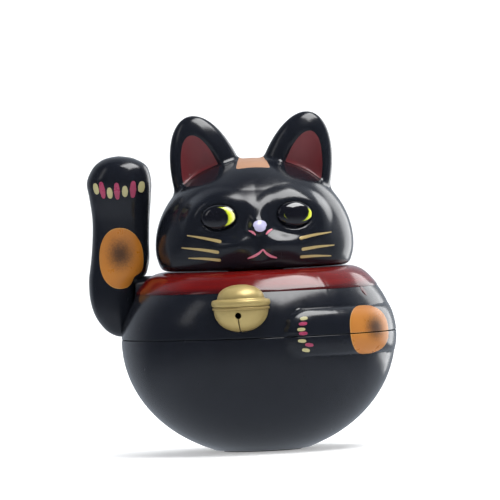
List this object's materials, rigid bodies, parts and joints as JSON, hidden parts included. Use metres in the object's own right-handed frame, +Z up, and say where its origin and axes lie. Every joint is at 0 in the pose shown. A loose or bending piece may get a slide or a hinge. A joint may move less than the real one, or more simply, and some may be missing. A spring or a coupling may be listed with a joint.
{
  "type": "beckoning cat figurine",
  "caption": "Small round-bodied beckoning cat ornament in black gloss plastic, with a turning head, a raised arm that swings and a gold bell.",
  "frame": {"origin": "centre of the flat base, on the upright axis of the round body", "axes": "+Z up; the body faces -Y, so the raised right arm is at -X and the moulded left arm at +X; the head rests turned 9.5 degrees towards +X"},
  "size_m": [0.0583, 0.0562, 0.0639],
  "materials": {
    "gloss_black": "polished black moulded plastic",
    "bell_gold": "bright gold with soft wear",
    "eye_enamel": "wet-looking green and black eye",
    "zinc_steel": "zinc-plated",
    "weight_iron": "rough cast",
    "natural_plastic": "unpainted natural plastic",
    "foot_rubber": "matt rubber",
    "paint_red": "brushed red paint, the collar",
    "paint_orange": "orange paint with a dark sprayed middle, the coat patches",
    "paint_gold": "gold line paint, the whiskers",
    "paint_cream": "cream paint, the claws",
    "paint_pink": "pink paint, the mouth, nostrils and toe pads",
    "paint_white": "cool white paint, the nose",
    "paint_tan": "tan paint, the mark on the crown"
  },
  "bodies": {
    "body": {"body_lower_shell": "gloss_black", "body_upper_shell": "gloss_black", "shell_screw_1": "zinc_steel", "shell_screw_2": "zinc_steel", "shell_screw_3": "zinc_steel", "ballast_weight": "weight_iron", "ballast_screw": "zinc_steel", "base_pad": "foot_rubber", "neck_washer": "natural_plastic", "neck_screw": "zinc_steel", "bell": "bell_gold", "bell_clip": "zinc_steel"},
    "head": {"head_front_shell": "gloss_black", "head_back_shell": "gloss_black", "eye_left": "eye_enamel", "eye_right": "eye_enamel"},
    "raised_arm": {"arm_front_shell": "gloss_black", "arm_back_shell": "gloss_black", "shoulder_axle": "zinc_steel", "shoulder_washer": "natural_plastic", "shoulder_screw": "zinc_steel"}
  },
  "joints": [
    {"name": "head_turn", "type": "hinge", "parent": "body", "child": "head", "pos_m": [0, 0, 0.0346], "axis": [0, 0, 1], "continuous": true},
    {"name": "arm_swing", "type": "hinge", "parent": "body", "child": "raised_arm", "pos_m": [-0.0229, 0, 0.0295], "axis": [1, 0, 0], "range_deg": [-20, 25]}
  ]
}
